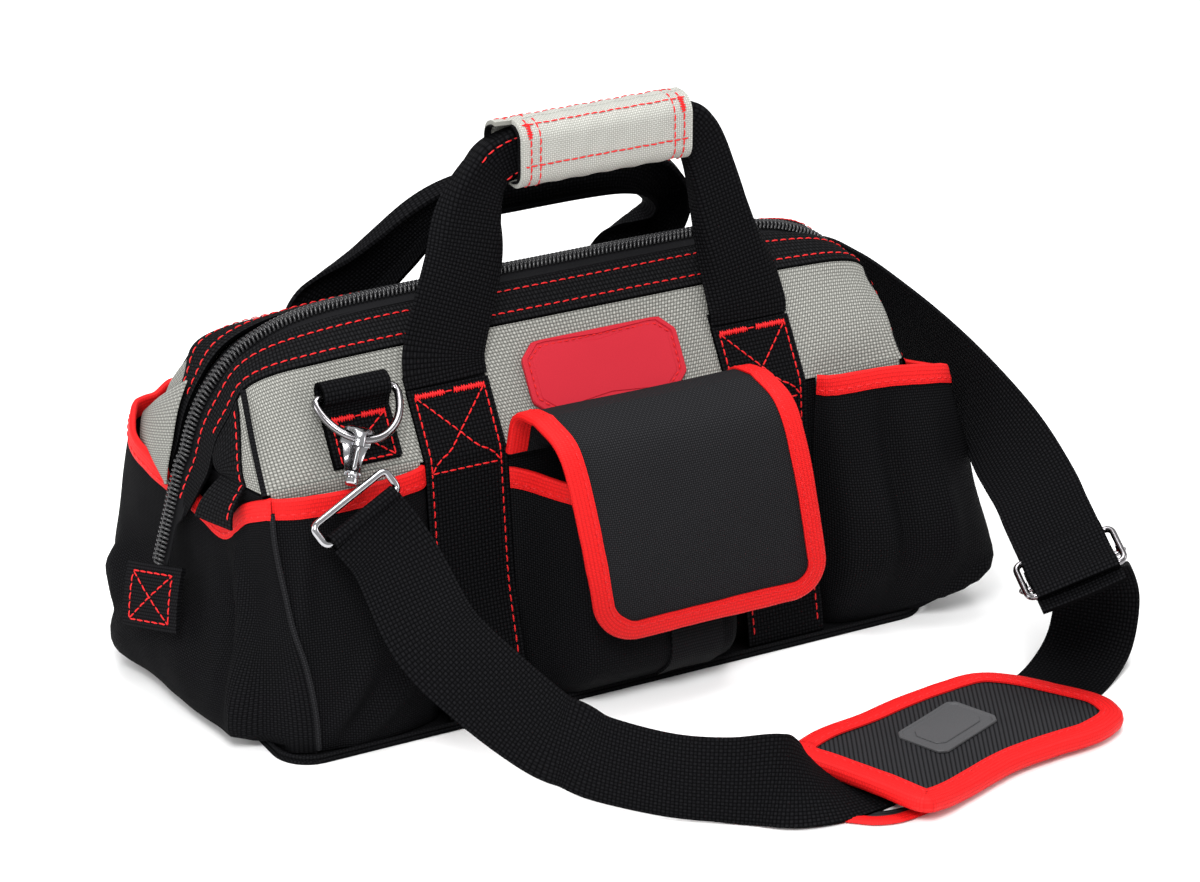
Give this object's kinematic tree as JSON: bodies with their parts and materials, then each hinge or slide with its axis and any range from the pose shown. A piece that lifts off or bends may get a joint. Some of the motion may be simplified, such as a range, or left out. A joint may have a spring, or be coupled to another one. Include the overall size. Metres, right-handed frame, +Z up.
{
  "type": "tool bag",
  "caption": "Wide-mouth fabric tool bag with two web handles, wrapped grip, pockets, zip and padded shoulder strap.",
  "frame": {"origin": "middle of the flat underside of the bag's base panel", "axes": "+Z up, X along the bag, the front with the badge and the flap faces -Y"},
  "size_m": [0.535, 0.4293, 0.3235],
  "materials": {
    "black_weave": "coarse black polyester weave",
    "grey_weave": "light warm grey polyester weave",
    "red_tape": "red woven binding tape",
    "black_web": "black ribbed webbing",
    "red_rubber": "soft moulded red",
    "zip_black": "black coil zip",
    "chrome": "polished",
    "gunmetal": "dark polished",
    "steel": "satin",
    "board": "plain board"
  },
  "bodies": {
    "bag_body": {"base_panel": "black_weave", "base_board": "board", "front_lower_panel": "black_weave", "back_lower_panel": "black_weave", "left_end_panel": "black_weave", "right_end_panel": "black_weave", "front_left_pocket": "black_weave", "front_left_pocket_binding": "red_tape", "front_centre_pocket": "black_weave", "front_centre_pocket_binding": "red_tape", "back_pocket": "black_weave", "back_pocket_binding": "red_tape", "right_wrap_pocket": "black_weave", "right_wrap_pocket_binding": "red_tape", "left_wrap_pocket": "black_weave", "left_wrap_pocket_binding": "red_tape", "front_left_web": "black_web", "front_right_web": "black_web", "back_right_web": "black_web", "back_left_web": "black_web", "left_zip_tail": "zip_black", "right_zip_tail": "zip_black", "left_zip_tab": "black_web", "flap_root": "black_weave", "strap_front_run": "black_web", "strap_middle_run": "black_web", "strap_side_run": "black_web"},
    "front_mouth": {"front_upper_panel": "grey_weave", "front_band": "black_weave", "front_zip_half": "zip_black", "front_frame_wire": "steel", "front_left_anchor": "black_web", "front_right_anchor": "black_web", "badge_patch": "red_rubber", "left_ring_tab": "black_web"},
    "back_mouth": {"back_upper_panel": "grey_weave", "back_band": "black_weave", "back_zip_half": "zip_black", "back_frame_wire": "steel", "back_right_anchor": "black_web", "back_left_anchor": "black_web", "right_ring_tab": "black_web"},
    "left_ring": {"left_d_ring": "gunmetal", "left_hook_loop": "chrome"},
    "right_ring": {"right_d_ring": "gunmetal", "right_hook_loop": "chrome"},
    "left_hook": {"left_snap_hook": "chrome"},
    "right_hook": {"right_snap_hook": "chrome"},
    "left_gate": {"left_hook_gate": "chrome"},
    "right_gate": {"right_hook_gate": "chrome"},
    "front_handle": {"front_handle_web": "black_web", "grip_wrap": "grey_weave"},
    "grip_flap_body": {"grip_flap": "grey_weave"},
    "back_handle": {"back_handle_web": "black_web"},
    "pocket_flap_body": {"pocket_flap": "black_weave"},
    "slider": {"zip_slider": "gunmetal"},
    "pull": {"zip_pull": "gunmetal"},
    "buckle": {"slide_buckle": "steel"},
    "pad": {"shoulder_pad": "black_weave", "pad_binding": "red_tape"}
  },
  "joints": [
    {"name": "front_mouth_hinge", "type": "hinge", "parent": "bag_body", "child": "front_mouth", "pos_m": [0, -0.0764, 0.15], "axis": [1, 0, 0], "range_deg": [0, 25]},
    {"name": "back_mouth_hinge", "type": "hinge", "parent": "bag_body", "child": "back_mouth", "pos_m": [0, 0.0764, 0.15], "axis": [-1, 0, 0], "range_deg": [0, 25]},
    {"name": "left_ring_slide", "type": "slide", "parent": "bag_body", "child": "left_ring", "axis": [0, -0.9629, 0.27], "range_m": [0, 0.0218], "deforming": ["strap_front_run"]},
    {"name": "right_ring_slide", "type": "slide", "parent": "bag_body", "child": "right_ring", "axis": [0, 0.9629, 0.27], "range_m": [0, 0.0218], "deforming": ["strap_side_run"]},
    {"name": "left_hook_swivel", "type": "hinge", "parent": "left_ring", "child": "left_hook", "pos_m": [-0.1503, -0.08001, 0.17385], "axis": [-0.4308, -0.5183, -0.7388], "range_deg": [-12, 12]},
    {"name": "left_gate_hinge", "type": "hinge", "parent": "left_hook", "child": "left_gate", "pos_m": [-0.1574, -0.09044, 0.16425], "axis": [-0.8929, 0.3635, 0.2656], "range_deg": [0, 25], "stiffness_Nm_per_rad": 0.02, "springref_deg": -17.19},
    {"name": "right_hook_swivel", "type": "hinge", "parent": "right_ring", "child": "right_hook", "pos_m": [0.1503, 0.08001, 0.17385], "axis": [0.4308, 0.5183, -0.7388], "range_deg": [-12, 12]},
    {"name": "right_gate_hinge", "type": "hinge", "parent": "right_hook", "child": "right_gate", "pos_m": [0.1574, 0.09044, 0.16425], "axis": [0.8929, -0.3635, 0.2656], "range_deg": [0, 25], "stiffness_Nm_per_rad": 0.02, "springref_deg": -17.19},
    {"name": "front_handle_hinge", "type": "hinge", "parent": "front_mouth", "child": "front_handle", "pos_m": [0, -0.05274, 0.18715], "axis": [1, 0, 0], "range_deg": [0, 50]},
    {"name": "back_handle_hinge", "type": "hinge", "parent": "back_mouth", "child": "back_handle", "pos_m": [0, 0.05274, 0.18715], "axis": [-1, 0, 0], "range_deg": [0, 50]},
    {"name": "grip_flap_hinge", "type": "hinge", "parent": "front_handle", "child": "grip_flap_body", "pos_m": [0.024, -0.03015, 0.3235], "axis": [-1, 0, 0], "range_deg": [0, 80]},
    {"name": "pocket_flap_hinge", "type": "hinge", "parent": "bag_body", "child": "pocket_flap_body", "pos_m": [0, -0.112, 0.179], "axis": [-1, 0, 0], "range_deg": [0, 55]},
    {"name": "zip_slide", "type": "slide", "parent": "bag_body", "child": "slider", "axis": [-0.2634, 0, 0.9647], "range_m": [0, 0.04]},
    {"name": "zip_pull_hinge", "type": "hinge", "parent": "slider", "child": "pull", "pos_m": [0.23918, 0, 0.10985], "axis": [0, -1, 0], "range_deg": [0, 100]},
    {"name": "buckle_slide", "type": "slide", "parent": "bag_body", "child": "buckle", "axis": [0.2383, 0.9264, 0.2917], "range_m": [-0.006, 0.01]},
    {"name": "pad_slide", "type": "slide", "parent": "bag_body", "child": "pad", "axis": [0.9994, 0.035, 0], "range_m": [0, 0.008]}
  ],
  "couplings": [
    {"joint": "left_ring_slide", "follows": "front_mouth_hinge", "m_per_rad": 0.0492},
    {"joint": "right_ring_slide", "follows": "back_mouth_hinge", "m_per_rad": 0.0492}
  ]
}
